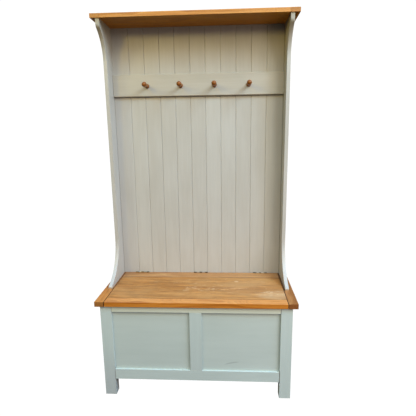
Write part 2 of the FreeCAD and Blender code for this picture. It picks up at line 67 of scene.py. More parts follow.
class Tree:
    """Small wrapper to write node trees as code."""

    def __init__(self, name):
        self.mat = bpy.data.materials.new(name)
        self.mat.use_nodes = True
        self.t = self.mat.node_tree
        self.t.nodes.clear()
        self.out = self.t.nodes.new("ShaderNodeOutputMaterial")
        self.bsdf = self.t.nodes.new("ShaderNodeBsdfPrincipled")
        self.link(self.bsdf.outputs[0], self.out.inputs[0])

    def link(self, a, b):
        self.t.links.new(a, b)

    def _set(self, sock, v):
        if isinstance(v, bpy.types.NodeSocket):
            self.link(v, sock)
        elif v is not None:
            sock.default_value = v

    def obj(self):
        n = self.t.nodes.new("ShaderNodeTexCoord")
        return n.outputs["Object"]

    def normal(self):
        n = self.t.nodes.new("ShaderNodeTexCoord")
        return n.outputs["Normal"]

    def mapping(self, vec, loc=(0, 0, 0), rot=(0, 0, 0), scale=(1, 1, 1)):
        n = self.t.nodes.new("ShaderNodeMapping")
        self._set(n.inputs["Vector"], vec)
        n.inputs["Location"].default_value = loc
        n.inputs["Rotation"].default_value = rot
        n.inputs["Scale"].default_value = scale
        return n.outputs[0]

    def noise(self, vec, scale=5.0, detail=2.0, rough=0.5, dist=0.0, lac=2.0):
        n = self.t.nodes.new("ShaderNodeTexNoise")
        n.noise_dimensions = "3D"
        self._set(n.inputs["Vector"], vec)
        self._set(n.inputs["Scale"], scale)
        n.inputs["Detail"].default_value = detail
        n.inputs["Roughness"].default_value = rough
        n.inputs["Distortion"].default_value = dist
        n.inputs["Lacunarity"].default_value = lac
        return n.outputs["Fac"], n.outputs["Color"]

    def white(self, vec=None, w=None, dims="3D"):
        n = self.t.nodes.new("ShaderNodeTexWhiteNoise")
        n.noise_dimensions = dims
        if vec is not None:
            self._set(n.inputs["Vector"], vec)
        if w is not None:
            self._set(n.inputs["W"], w)
        return n.outputs["Value"], n.outputs["Color"]

    def voronoi(self, vec, scale=5.0, feature="F1", rnd=1.0):
        n = self.t.nodes.new("ShaderNodeTexVoronoi")
        n.feature = feature
        self._set(n.inputs["Vector"], vec)
        n.inputs["Scale"].default_value = scale
        n.inputs["Randomness"].default_value = rnd
        return n

    def math(self, op, a, b=None, c=None, clamp=False):
        n = self.t.nodes.new("ShaderNodeMath")
        n.operation = op
        n.use_clamp = clamp
        self._set(n.inputs[0], a)
        if b is not None:
            self._set(n.inputs[1], b)
        if c is not None:
            self._set(n.inputs[2], c)
        return n.outputs[0]

    def vmath(self, op, a, b=None, scale=None):
        n = self.t.nodes.new("ShaderNodeVectorMath")
        n.operation = op
        self._set(n.inputs[0], a)
        if b is not None:
            self._set(n.inputs[1], b)
        if scale is not None:
            self._set(n.inputs["Scale"], scale)
        return n.outputs["Value"] if op in ("LENGTH", "DOT_PRODUCT", "DISTANCE") else n.outputs["Vector"]

    def sep(self, vec):
        n = self.t.nodes.new("ShaderNodeSeparateXYZ")
        self.link(vec, n.inputs[0])
        return n.outputs[0], n.outputs[1], n.outputs[2]

    def comb(self, x, y, z):
        n = self.t.nodes.new("ShaderNodeCombineXYZ")
        for s, v in zip(n.inputs, (x, y, z)):
            self._set(s, v)
        return n.outputs[0]

    def rng(self, v, a, b, c=0.0, d=1.0, smooth=True, clamp=True):
        n = self.t.nodes.new("ShaderNodeMapRange")
        n.interpolation_type = "SMOOTHSTEP" if smooth else "LINEAR"
        n.clamp = clamp
        self._set(n.inputs[0], v)
        for i, x in enumerate((a, b, c, d)):
            self._set(n.inputs[i + 1], x)
        return n.outputs[0]

    def mix(self, f, a, b, mode="MIX"):
        n = self.t.nodes.new("ShaderNodeMix")
        n.data_type = "RGBA"
        n.blend_type = mode
        n.clamp_factor = True
        self._set(n.inputs[0], f)
        self._set(n.inputs[6], a)
        self._set(n.inputs[7], b)
        return n.outputs[2]

    def ramp(self, f, stops):
        n = self.t.nodes.new("ShaderNodeValToRGB")
        e = n.color_ramp.elements
        while len(e) > 1:
            e.remove(e[-1])
        e[0].position, e[0].color = stops[0][0], stops[0][1]
        for p, c in stops[1:]:
            x = e.new(p)
            x.color = c
        self._set(n.inputs[0], f)
        return n.outputs[0]

    def line_mask(self, vec, lines):
        """1 on thin planes given as (axis, place, half width, strength[, bounds]), 0 elsewhere."""
        xyz = self.sep(vec)
        total = None
        for axis, at, half, strength, *lim in lines:
            d = self.math("ABSOLUTE", self.math("SUBTRACT", xyz["XYZ".index(axis)], at))
            m = self.math("MULTIPLY", self.rng(d, half * 0.6, half * 1.4, 1.0, 0.0), strength)
            for ax, lo, hi in lim:
                c = xyz["XYZ".index(ax)]
                m = self.math("MULTIPLY", m, self.rng(c, lo - 0.004, lo + 0.004))
                m = self.math("MULTIPLY", m, self.rng(c, hi - 0.004, hi + 0.004, 1.0, 0.0))
            total = m if total is None else self.math("MAXIMUM", total, m)
        return total

    def bump(self, height, strength=0.3, distance=0.001, normal=None):
        n = self.t.nodes.new("ShaderNodeBump")
        n.inputs["Strength"].default_value = strength
        n.inputs["Distance"].default_value = distance
        self._set(n.inputs["Height"], height)
        if normal is not None:
            self._set(n.inputs["Normal"], normal)
        return n.outputs[0]


def axis_swap(t, vec, axis):
    """Vector with the grain direction brought to X."""
    x, y, z = t.sep(vec)
    if axis == "X":
        return t.comb(x, y, z)
    if axis == "Y":
        return t.comb(y, x, z)
    return t.comb(z, x, y)


# ------------------------------------------------------------------ paint
def paint(name, axis, base, dark, seed, rough=0.42, grain=1.0, lines=None, low_shade=0.0, scuffs=(), streaky=1.0, head=0.0):
    """Brushed eggshell paint over planed timber."""
    t = Tree(name)
    rnd = random.Random(seed)
    off = (rnd.uniform(-9, 9), rnd.uniform(-9, 9), rnd.uniform(-9, 9))
    p = t.vmath("ADD", t.obj(), off)
    q = axis_swap(t, p, axis)
    # slow drift of the coat, lap marks, brush strokes, and the timber's grain telegraphing through
    drift, _ = t.noise(p, 2.3, 3.0, 0.55)
    lap, _ = t.noise(t.mapping(q, scale=(3.0, 26.0, 26.0)), 1.0, 3.0, 0.6)
    brush, _ = t.noise(t.mapping(q, scale=(9.0, 520.0, 520.0)), 1.0, 3.0, 0.62)
    grain_n, _ = t.noise(t.mapping(q, scale=(5.0, 120.0, 120.0)), 1.0, 4.0, 0.6, 0.4)
    f = t.math("ADD", t.math("MULTIPLY", drift, 0.55), t.math("MULTIPLY", lap, 0.45))
    f = t.rng(f, 0.36, 0.64)
    col = t.mix(f, dark, base)
    streak = t.rng(t.math("ADD", t.math("MULTIPLY", brush, 0.5), t.math("MULTIPLY", grain_n, 0.5)), 0.35, 0.65,
                   1.0 - 0.030 * streaky, 1.0 + 0.022 * streaky)
    col = t.mix(1.0, col, t.comb(streak, streak, streak), "MULTIPLY")
    # sparse specks and rubbed spots
    sp = t.voronoi(p, 60.0)
    speck = t.rng(sp.outputs["Distance"], 0.02, 0.075, 1.0, 0.0)
    keep, _ = t.white(sp.outputs["Position"])
    speck = t.math("MULTIPLY", speck, t.rng(keep, 0.93, 0.95))
    col = t.mix(t.math("MULTIPLY", speck, 0.35), col, (0.20, 0.19, 0.15, 1.0))
    if lines:
        # fine dark dirt line where two painted parts meet; on the back boards the same lines are painted shadow under
        # the peg rail and painted shade in the corners beside the wings
        col = t.mix(t.line_mask(t.obj(), lines), col, (0.085, 0.075, 0.055, 1.0))
    if low_shade > 0:
        # painted shade near the floor: the paint is greyed darker low down, most on the front left leg
        low = t.rng(t.math("ADD", t.sep(t.obj())[2], t.math("MULTIPLY", t.math("SUBTRACT", drift, 0.5), 0.25)), 0.02, 0.30, 1.0, 0.0)
        col = t.mix(t.math("MULTIPLY", low, low_shade), col, (0.30, 0.285, 0.30, 1.0))
    if head > 0:
        # painted shade close under the shelf, where the photograph is darker than these lights make it: the paint is
        # toned darker and warmer there
        high = t.rng(t.math("ADD", t.sep(t.obj())[2], t.math("MULTIPLY", t.math("SUBTRACT", drift, 0.5), 0.02)), 1.815, 1.868)
        col = t.mix(t.math("MULTIPLY", high, head), col, (0.205, 0.175, 0.105, 1.0))
    for (cx, cz), (lx, lz), ang, strength in scuffs:
        # a short rubbed mark, darker along its lower side
        ox, oy, oz = t.sep(t.obj())
        dx, dz = t.math("SUBTRACT", ox, cx), t.math("SUBTRACT", oz, cz)
        ca, sa = math.cos(ang), math.sin(ang)
        a = t.math("ADD", t.math("MULTIPLY", dx, ca / lx), t.math("MULTIPLY", dz, sa / lx))
        b = t.math("ADD", t.math("MULTIPLY", dx, -sa / lz), t.math("MULTIPLY", dz, ca / lz))
        b = t.math("ADD", b, t.math("MULTIPLY", t.math("MULTIPLY", a, a), 0.7))
        r2 = t.math("ADD", t.math("MULTIPLY", a, a), t.math("MULTIPLY", b, b))
        m = t.rng(r2, 0.25, 1.25, 1.0, 0.0)
        col = t.mix(t.math("MULTIPLY", m, strength), col, (0.10, 0.115, 0.115, 1.0))
    t.link(col, t.bsdf.inputs["Base Color"])
    r = t.rng(t.math("ADD", t.math("MULTIPLY", brush, 0.4), t.math("MULTIPLY", drift, 0.6)), 0.3, 0.7, rough - 0.06, rough + 0.08)
    t.link(r, t.bsdf.inputs["Roughness"])
    t.bsdf.inputs["Specular IOR Level"].default_value = 0.45
    h = t.math("ADD", t.math("MULTIPLY", brush, 0.5), t.math("MULTIPLY", grain_n, 0.9))
    n1 = t.bump(h, 0.35 * grain, 0.0006)
    n2 = t.bump(t.noise(p, 420.0, 2.0, 0.5)[0], 0.08, 0.0004, n1)
    t.link(n2, t.bsdf.inputs["Normal"])
    return t.mat


# ------------------------------------------------------------------ oak
def oak(name, axis, seed, light, mid, dark, pore, rough=0.36, worn=0.0, staves=None, pith=(0.05, -0.13), ring=0.0034,
        figure=1.0, gloss=0.5, front=None, top=None, under=None, side=None, end=0.86, end_color=None, lines=None,
        shades=()):
    """Solid oak: rings about a pith line beside the board, so faces, edges and end grain agree."""
    t = Tree(name)
    rnd = random.Random(seed)
    off = Vector((rnd.uniform(-7, 7), rnd.uniform(-7, 7), rnd.uniform(-7, 7)))
    o = t.obj()
    q = axis_swap(t, o, axis)
    tone = 0.0
    if staves:
        w, across, start = staves
        x, y, z = t.sep(q)
        k = t.math("FLOOR", t.math("DIVIDE", t.math("SUBTRACT", y if across == 1 else z, start), w))
        val, col = t.white(w=t.math("ADD", k, seed * 1.37), dims="1D")
        jump = t.vmath("SCALE", t.vmath("SUBTRACT", col, (0.5, 0.5, 0.5)), scale=6.0)
        qs = t.vmath("ADD", q, t.vmath("MULTIPLY", jump, (1.0, 0.0, 0.0)))
        x2, y2, z2 = t.sep(qs)
        jx, jy, jz = t.sep(jump)
        # each stave has its own pith beside it
        yl = t.math("SUBTRACT", y2, t.math("ADD", t.math("MULTIPLY", t.math("ADD", k, 0.5), w), start))
        yl = t.math("ADD", yl, t.math("MULTIPLY", jy, 0.02))
        zl = t.math("SUBTRACT", z2, t.math("ADD", rnd.uniform(0.4, 0.5), t.math("MULTIPLY", jz, 0.01)))
        q0 = t.comb(t.math("ADD", x2, off.x), yl, zl)
        seedv = t.vmath("ADD", t.comb(x2, y2, z2), t.vmath("ADD", t.vmath("MULTIPLY", jump, (1.0, 3.0, 3.0)), tuple(off)))
        tone = t.rng(val, 0.0, 1.0, -0.5, 0.5, smooth=False)
    else:
        q0 = q
        seedv = t.vmath("ADD", q, tuple(off))
    # slow wander of the pith line along the board gives the cathedral figure
    wob, wobc = t.noise(t.mapping(seedv, scale=(1.6, 4.0, 4.0)), 1.0, 3.0, 0.55)
    wv = t.vmath("MULTIPLY", t.vmath("SUBTRACT", wobc, (0.5, 0.5, 0.5)), (0.0, 0.10 * figure, 0.10 * figure))
    fine, _ = t.noise(t.mapping(seedv, scale=(5.0, 60.0, 60.0)), 1.0, 3.0, 0.55)
    qq = t.vmath("ADD", q0, wv)
    x, y, z = t.sep(qq)
    if staves:
        dy = t.math("ADD", y, pith[0])
        dz = t.math("ADD", z, -pith[1])
    else:
        dy = t.math("SUBTRACT", y, pith[0])
        dz = t.math("SUBTRACT", z, pith[1])
    r = t.math("SQRT", t.math("ADD", t.math("MULTIPLY", dy, dy), t.math("MULTIPLY", dz, dz)))
    r = t.math("ADD", r, t.math("MULTIPLY", t.math("SUBTRACT", fine, 0.5), 0.006))
    rr = t.math("DIVIDE", r, ring)
    fr = t.math("FRACT", rr)
    yr = t.math("FLOOR", rr)
    yv, _ = t.white(w=yr, dims="1D")
    # early wood: dark porous start of each ring, then a slow fade
    early = t.rng(fr, 0.0, 0.12, 0.0, 1.0)
    late = t.rng(fr, 0.22, 0.75, 1.0, 0.0)
    band = t.math("MULTIPLY", early, late)
    band = t.math("MULTIPLY", band, t.rng(yv, 0.0, 1.0, 0.35, 1.0, smooth=False))
    # broad bands of growth, wide enough to show from across a room
    broad, _ = t.noise(t.comb(t.math("MULTIPLY", x, 0.6), t.math("MULTIPLY", r, 75.0), 0.0), 1.0, 3.0, 0.6)
    streak, _ = t.noise(t.mapping(seedv, scale=(3.2, 95.0, 95.0)), 1.0, 4.0, 0.62, 0.3)
    f = t.math("ADD", t.math("MULTIPLY", broad, 0.62), t.math("MULTIPLY", streak, 0.38))
    f = t.rng(f, 0.34, 0.66)
    if staves:
        f = t.math("ADD", f, t.math("MULTIPLY", tone, 0.45), clamp=True)
    col = t.ramp(f, [(0.0, dark), (0.45, mid), (1.0, light)])
    col = t.mix(t.math("MULTIPLY", band, 0.42), col, t.mix(0.55, mid, pore))
    # pores: fine dashes along the grain
    por, _ = t.noise(t.mapping(seedv, scale=(34.0, 1500.0, 1500.0)), 1.0, 2.0, 0.6)
    pm = t.rng(por, 0.60, 0.70)
    pm = t.math("MULTIPLY", pm, t.rng(band, 0.0, 0.6, 0.35, 1.0))
    col = t.mix(t.math("MULTIPLY", pm, 0.6), col, pore)
    # ray fleck
    fl, _ = t.noise(t.mapping(seedv, scale=(60.0, 240.0, 900.0)), 1.0, 1.0, 0.5)
    col = t.mix(t.math("MULTIPLY", t.rng(fl, 0.66, 0.72), 0.16), col, light)
    # end grain drinks more finish
    nx, ny, nz = t.sep(t.normal())
    en = t.math("ABSOLUTE", {"X": nx, "Y": ny, "Z": nz}[axis])
    em = t.rng(en, 0.72, 0.95)
    endc = t.mix(t.math("MULTIPLY", band, 0.75), end_color or t.mix(0.42, mid, pore), pore)
    endc = t.mix(t.rng(streak, 0.35, 0.65, 0.0, 0.25), endc, dark)
    dots = t.voronoi(t.mapping(seedv, scale=(60.0, 520.0, 520.0)), 1.0)
    endc = t.mix(t.rng(dots.outputs["Distance"], 0.12, 0.34, 0.55, 0.0), endc, pore)
    col = t.mix(t.math("MULTIPLY", em, end), col, endc)
    # a tint per face, fitted to the photograph: painted light and shade as well as colour, each face tinted by how
    # light falls on it
    for shade, face in ((front, t.math("MULTIPLY", ny, -1.0)), (top, nz), (under, t.math("MULTIPLY", nz, -1.0)),
                        (side, t.math("ABSOLUTE", nx))):
        if shade:
            col = t.mix(t.rng(face, 0.70, 0.92), col, t.vmath("MULTIPLY", col, shade))
    rgh = t.rng(streak, 0.3, 0.7, rough - 0.05, rough + 0.07)
    if worn > 0:
        # the finish is rubbed thin where people sit: short paler and darker streaks along the grain,
        # greyer patches between them
        fa, _ = t.noise(t.mapping(o, loc=(3.1, 1.7, 0.4), scale=(15.0, 95.0, 20.0)), 1.0, 3.0, 0.6, 0.5)
        fb, _ = t.noise(t.mapping(o, loc=(6.3, 4.7, 0.4), scale=(5.5, 36.0, 20.0)), 1.0, 3.0, 0.6, 0.7)
        fs = t.rng(t.math("ADD", t.math("MULTIPLY", fa, 0.65), t.math("MULTIPLY", fb, 0.35)), 0.36, 0.64, 0.76, 1.24)
        col = t.mix(1.0, col, t.comb(fs, fs, fs), "MULTIPLY")
        # growth lines that meander along the board
        ca, _ = t.noise(t.mapping(o, loc=(0.4, 0.2, 0.9), scale=(2.3, 15.0, 9.0)), 1.0, 3.0, 0.5, 0.4)
        cf = t.math("FRACT", t.math("MULTIPLY", ca, 13.0))
        cl = t.math("MULTIPLY", t.rng(cf, 0.0, 0.16), t.rng(cf, 0.16, 0.42, 1.0, 0.0))
        col = t.mix(t.math("MULTIPLY", cl, 0.34), col, dark)
        wa, _ = t.noise(t.mapping(o, loc=(3.1, 1.7, 0.4), scale=(2.6, 6.0, 5.0)), 1.0, 4.0, 0.62, 0.6)
        wm = t.rng(wa, 0.42, 0.66)
        col = t.mix(t.math("MULTIPLY", t.math("MULTIPLY", wm, worn), t.rng(nz, 0.3, 0.7)), col, (0.45, 0.255, 0.092, 1.0))
        sc, _ = t.noise(t.mapping(o, loc=(1.1, 5.2, 0.0), scale=(24.0, 120.0, 30.0)), 1.0, 2.0, 0.5, 0.8)
        rgh = t.math("ADD", rgh, t.math("MULTIPLY", wm, 0.10))
        above = t.rng(nz, 0.3, 0.7)
        for (cx, cy), (rx, ry), tone, strength, broken in shades:
            ox, oy, oz = t.sep(o)
            a = t.math("DIVIDE", t.math("SUBTRACT", ox, cx), rx)
            b = t.math("DIVIDE", t.math("SUBTRACT", oy, cy), ry)
            r2 = t.math("ADD", t.math("MULTIPLY", a, a), t.math("MULTIPLY", b, b))
            m = t.rng(t.math("ADD", r2, t.math("MULTIPLY", t.math("SUBTRACT", fb, 0.5), 1.6)), 0.15, 1.15, 1.0, 0.0)
            if broken > 0:
                m = t.math("MULTIPLY", m, t.rng(sc, broken, broken + 0.06))
            m = t.math("MULTIPLY", m, above)
            col = t.mix(t.math("MULTIPLY", m, strength), col, tone)
    if lines:
        # dirt and old polish in the joints, and painted shade on the seat ends beside the wings' feet
        col = t.mix(t.line_mask(o, lines), col, (0.045, 0.016, 0.008, 1.0))
    t.link(col, t.bsdf.inputs["Base Color"])
    t.link(rgh, t.bsdf.inputs["Roughness"])
    t.bsdf.inputs["Specular IOR Level"].default_value = gloss
    h = t.math("SUBTRACT", t.math("MULTIPLY", streak, 0.5), t.math("MULTIPLY", pm, 0.9))
    h = t.math("SUBTRACT", h, t.math("MULTIPLY", band, 0.3))
    t.link(t.bump(h, 0.4, 0.0005), t.bsdf.inputs["Normal"])
    return t.mat


# ------------------------------------------------------------------ plain woods and metals
def plain_wood(name, axis, seed, light, dark, rough=0.6):
    t = Tree(name)
    rnd = random.Random(seed)
    off = (rnd.uniform(-9, 9), rnd.uniform(-9, 9), rnd.uniform(-9, 9))
    q = axis_swap(t, t.vmath("ADD", t.obj(), off), axis)
    a, _ = t.noise(t.mapping(q, scale=(1.4, 26.0, 26.0)), 1.0, 4.0, 0.6, 1.1)
    b, _ = t.noise(t.mapping(q, scale=(10.0, 420.0, 420.0)), 1.0, 3.0, 0.6)
    f = t.math("ADD", t.math("MULTIPLY", a, 0.6), t.math("MULTIPLY", b, 0.4))
    t.link(t.ramp(f, [(0.3, dark), (0.7, light)]), t.bsdf.inputs["Base Color"])
    t.link(t.rng(b, 0.3, 0.7, rough - 0.05, rough + 0.1), t.bsdf.inputs["Roughness"])
    t.link(t.bump(f, 0.4, 0.0006), t.bsdf.inputs["Normal"])
    return t.mat


def turned(name, seed, cx, cz):
    """Turned peg: grain along Y, rings show on the rounded head, lacquered."""
    t = Tree(name)
    rnd = random.Random(seed)
    o = t.obj()
    x, y, z = t.sep(o)
    ang = rnd.uniform(0, 6.28)
    off = 0.009
    dx = t.math("SUBTRACT", x, cx + off * math.cos(ang))
    dz = t.math("SUBTRACT", z, cz + off * math.sin(ang))
    wob, _ = t.noise(t.mapping(o, scale=(60.0, 9.0, 60.0), loc=(seed, 0, 0)), 1.0, 3.0, 0.55)
    r = t.math("SQRT", t.math("ADD", t.math("MULTIPLY", dx, dx), t.math("MULTIPLY", dz, dz)))
    r = t.math("ADD", r, t.math("MULTIPLY", wob, 0.004))
    fr = t.math("FRACT", t.math("DIVIDE", r, 0.0021))
    band = t.math("MULTIPLY", t.rng(fr, 0.0, 0.3), t.rng(fr, 0.5, 1.0, 1.0, 0.0))
    st, _ = t.noise(t.mapping(o, scale=(420.0, 26.0, 420.0)), 1.0, 3.0, 0.6)
    col = t.ramp(t.rng(st, 0.32, 0.68), [(0.0, lin(112, 60, 14)), (0.5, lin(146, 86, 22)), (1.0, lin(176, 112, 34))])
    col = t.mix(t.math("MULTIPLY", band, 0.6), col, lin(84, 38, 12))
    t.link(col, t.bsdf.inputs["Base Color"])
    t.link(t.rng(st, 0.3, 0.7, 0.26, 0.36), t.bsdf.inputs["Roughness"])
    t.bsdf.inputs["Specular IOR Level"].default_value = 0.3
    t.bsdf.inputs["Coat Weight"].default_value = 0.06
    t.bsdf.inputs["Coat Roughness"].default_value = 0.18
    t.link(t.bump(t.math("ADD", st, t.math("MULTIPLY", band, 0.4)), 0.15, 0.0003), t.bsdf.inputs["Normal"])
    return t.mat


def metal(name, base, dull, rough=0.3, metallic=1.0, seed=1):
    t = Tree(name)
    p = t.vmath("ADD", t.obj(), (seed * 1.3, seed * 0.7, seed * 2.1))
    a, _ = t.noise(p, 90.0, 4.0, 0.6)
    b, _ = t.noise(t.mapping(p, scale=(60.0, 900.0, 900.0)), 1.0, 2.0, 0.5)
    t.link(t.mix(t.rng(a, 0.42, 0.62), base, dull), t.bsdf.inputs["Base Color"])
    t.bsdf.inputs["Metallic"].default_value = metallic
    t.link(t.rng(t.math("ADD", t.math("MULTIPLY", a, 0.6), t.math("MULTIPLY", b, 0.4)), 0.35, 0.65, rough - 0.06, rough + 0.14),
           t.bsdf.inputs["Roughness"])
    t.link(t.bump(b, 0.12, 0.0002), t.bsdf.inputs["Normal"])
    return t.mat


# ------------------------------------------------------------------ geometry finish
def soften(name, width, segments=3, angle=35.0):
    """Rounded arrises on a node, as modifiers only."""
    o = NODES[name]
    w = o.modifiers.new("weld", "WELD")
    w.merge_threshold = 0.00002
    b = o.modifiers.new("arris", "BEVEL")
    b.width = width
    b.segments = segments
    b.limit_method = "ANGLE"
    b.angle_limit = math.radians(angle)
    b.use_clamp_overlap = True
    b.miter_outer = "MITER_ARC"
    b.harden_normals = True
    return o


def give(name, mat):
    o = NODES[name]
    if not o.data.materials:
        o.data.materials.append(mat)
    for i in range(len(o.material_slots)):
        o.material_slots[i].link = "OBJECT"
        o.material_slots[i].material = mat


# CHEST and HUTCH are one grey-green paint in two copies: the hutch copy is warmer and darker as painted light bounced
# from the oak and painted shade of the shelf and wings, the chest copy cooler as painted skylight
CHEST = lin(180, 192, 181)
CHEST_D = lin(175, 187, 176)
FRAME, FRAME_D = lin(183, 196, 186), lin(178, 191, 181)
HUTCH = lin(178, 175, 162)
HUTCH_D = lin(172, 168, 154)

OAK_L = (0.60, 0.285, 0.072, 1.0)
OAK_M = (0.50, 0.212, 0.046, 1.0)
OAK_D = (0.37, 0.140, 0.026, 1.0)
OAK_P = (0.15, 0.055, 0.013, 1.0)

# RAIL is the frame paint made warmer and lighter for the front top rail: painted warm light bounced from the oak seat
# above it
RAIL = (0.556, 0.596, 0.474, 1.0)
RAIL_D = (0.518, 0.562, 0.443, 1.0)

# where legs and rails meet: x of the joint, then the heights it runs over
JOINTS_L = [("X", -0.4185, 0.0011, 0.75, ("Z", 0.461, 0.50)), ("X", -0.4185, 0.0011, 0.70, ("Z", 0.085, 0.150))]
JOINTS_R = [("X", 0.4185, 0.0014, 0.85, ("Z", 0.461, 0.50)), ("X", 0.4185, 0.0016, 0.90, ("Z", 0.085, 0.150))]

# how strongly the painted shade near the floor greys each leg
LOW_SHADE = {"front_left_leg": 0.32, "front_right_leg": 0.0}

seed = 10
for n in ("front_left_leg", "front_right_leg", "rear_left_leg", "rear_right_leg", "front_muntin"):
    seed += 1
    lines = {"front_left_leg": JOINTS_L, "front_right_leg": JOINTS_R}.get(n)
    give(n, paint("paint_" + n, "Z", FRAME, FRAME_D, seed, lines=lines, low_shade=LOW_SHADE.get(n, 0.12)))
    soften(n, 0.0013)
for n in ("front_top_rail", "front_bottom_rail", "rear_top_rail", "rear_bottom_rail"):
    seed += 1
    top = n == "front_top_rail"
    give(n, paint("paint_" + n, "X", RAIL if top else FRAME, RAIL_D if top else FRAME_D, seed,
                  lines=JOINTS_L + JOINTS_R if n.startswith("front") else None))
    soften(n, 0.0011)
for n in ("left_side_top_rail", "left_side_bottom_rail", "right_side_top_rail", "right_side_bottom_rail"):
    seed += 1
    give(n, paint("paint_" + n, "Y", CHEST, CHEST_D, seed))
    soften(n, 0.0011)
for n in ("front_left_panel", "front_right_panel", "left_side_panel", "right_side_panel"):
    seed += 1
    scuffs = [((0.1785, 0.1868), (0.040, 0.0042), 0.20, 0.30)] if n == "front_right_panel" else ()
    give(n, paint("paint_" + n, "X" if n.startswith("front") else "Y", CHEST, CHEST_D, seed, 0.44, 0.5,
                  scuffs=scuffs, streaky=0.25))
for n in ("left_wing", "right_wing"):
    seed += 1
    # head sets the strength of the painted shade close under the shelf
    give(n, paint("paint_" + n, "Z", HUTCH, HUTCH_D, seed, head=0.55))
    soften(n, 0.0022, 4)
# painted shadow under the peg rail, and painted shade in the corners between boards and wings; head adds painted shade
# close under the shelf
FACE = ("Y", 0.180, 0.201)
RAIL_SHADOW = [("Z", 1.5258, 0.0022, 0.60, FACE)]
CORNER_SHADE = {1: [("X", -0.4590, 0.0016, 0.38, ("Z", 0.52, 1.52), FACE)], 11: [("X", 0.4590, 0.0020, 0.62, ("Z", 0.52, 1.87), FACE)]}
for i in range(1, 12):
    n = "back_board_%02d" % i
    seed += 1
    give(n, paint("paint_" + n, "Z", HUTCH, HUTCH_D, seed, 0.45, head=0.30, lines=RAIL_SHADOW + CORNER_SHADE.get(i, [])))
    soften(n, 0.0005, 2)
seed += 1
give("peg_rail", paint("paint_peg_rail", "X", lin(178, 173, 156), lin(172, 166, 148), seed))
soften("peg_rail", 0.0012)

oak_set = dict(light=OAK_L, mid=OAK_M, dark=OAK_D, pore=OAK_P)
# face tints, painted light and shade: SEAT_FRONT darkens and warms the seat's front edges, SEAT_TOP lightens and cools
# its top as painted skylight sheen, SHELF_UNDER darkens the shelf's underside and SIDE the side faces as painted shade
SEAT_FRONT, SEAT_TOP = (0.95, 0.77, 0.36), (1.10, 1.05, 1.14)
SHELF_UNDER = (0.82, 0.75, 0.12)
SIDE = (0.25, 0.20, 0.20)
END_L, END_R = (0.30, 0.125, 0.026, 1.0), (0.170, 0.056, 0.015, 1.0)
# joints of the seat: lid against its ends, and the lid's own three boards
GAPS = [("X", -0.452, 0.0021, 0.72), ("X", 0.452, 0.0021, 0.75)]
SEAMS = [("Y", -0.165, 0.0012, 0.66), ("Y", 0.122, 0.0019, 0.80)]
# painted shade on the seat ends beside the wings' feet
WING_FOOT_SHADE = [("X", -0.4565, 0.0036, 0.55, ("Y", -0.060, 0.30)), ("X", 0.4565, 0.0036, 0.72, ("Y", -0.060, 0.30))]
give("lid_front_rail", oak("oak_lid_front", "X", 101, pith=(-0.19, 0.42), front=SEAT_FRONT, top=SEAT_TOP, side=SIDE,
                           gloss=0.32, lines=GAPS + SEAMS, **oak_set))
give("lid_rear_rail", oak("oak_lid_rear", "X", 102, pith=(0.165, 0.40), top=(0.84, 0.92, 1.25), side=SIDE,
                          lines=GAPS + SEAMS, **oak_set))
FLECK, GREYED, SOILED = (0.68, 0.47, 0.25, 1.0), (0.55, 0.37, 0.19, 1.0), (0.26, 0.115, 0.028, 1.0)
WEAR = [
    # centre, half lengths, colour, strength, and how broken up it is
    ((0.400, -0.115), (0.110, 0.055), GREYED, 0.42, 0.0),
    ((0.300, -0.020), (0.200, 0.120), GREYED, 0.12, 0.0),
    ((-0.146, 0.034), (0.095, 0.026), SOILED, 0.35, 0.0),
    ((-0.230, -0.120), (0.150, 0.035), SOILED, 0.22, 0.0),
    ((0.030, -0.045), (0.120, 0.040), FLECK, 0.50, 0.58),
    ((0.190, -0.030), (0.070, 0.016), FLECK, 0.50, 0.52),
    ((0.208, 0.063), (0.014, 0.010), FLECK, 0.55, 0.0),
    ((0.380, -0.095), (0.090, 0.050), FLECK, 0.60, 0.56),
    ((0.100, 0.000), (0.420, 0.150), FLECK, 0.40, 0.64),
]
give("lid_panel", oak("oak_lid_panel", "X", 103, light=(0.455, 0.205, 0.050, 1), mid=(0.380, 0.160, 0.033, 1),
                      dark=(0.275, 0.105, 0.020, 1), pore=OAK_P, worn=0.45, rough=0.48, gloss=0.35, side=SIDE,
                      lines=GAPS + SEAMS, shades=WEAR, staves=(0.078, 1, -0.165), pith=(0.0, 0.1)))
give("seat_end_left", oak("oak_end_left", "Y", 104, pith=(-0.478, 0.44), top=(1.06, 1.02, 0.96), side=SIDE,
                          end=0.95, end_color=END_L, gloss=0.30, lines=GAPS + WING_FOOT_SHADE, **oak_set))
# the right seat end's darker top tint is painted shadow from the right wing
give("seat_end_right", oak("oak_end_right", "Y", 105, pith=(0.470, 0.41), top=(0.72, 0.72, 0.90), side=SIDE,
                           end=0.95, end_color=END_R, gloss=0.14, lines=GAPS + WING_FOOT_SHADE, **oak_set))
# the rear seat rail's dark top tint is painted shade under the back boards
give("seat_rear_rail", oak("oak_seat_rear", "X", 106, pith=(0.2, 0.45), top=(0.50, 0.42, 0.42), **oak_set))
give("shelf_board", oak("oak_shelf", "X", 107, pith=(0.08, 1.80), under=SHELF_UNDER, gloss=0.28, **oak_set))
give("shelf_end_left", oak("oak_shelf_left", "Y", 108, pith=(-0.47, 1.84), under=SHELF_UNDER, end=0.85, gloss=0.28,
                           end_color=(0.43, 0.185, 0.043, 1.0), **oak_set))
give("shelf_end_right", oak("oak_shelf_right", "Y", 109, pith=(0.48, 1.85), under=SHELF_UNDER, end=0.85, gloss=0.28,
                            end_color=(0.42, 0.180, 0.042, 1.0), **oak_set))
for n in ("lid_front_rail", "lid_rear_rail", "lid_panel", "seat_end_left", "seat_end_right", "seat_rear_rail",
          "shelf_board", "shelf_end_left", "shelf_end_right"):
    soften(n, 0.0015 if "panel" not in n else 0.0005)

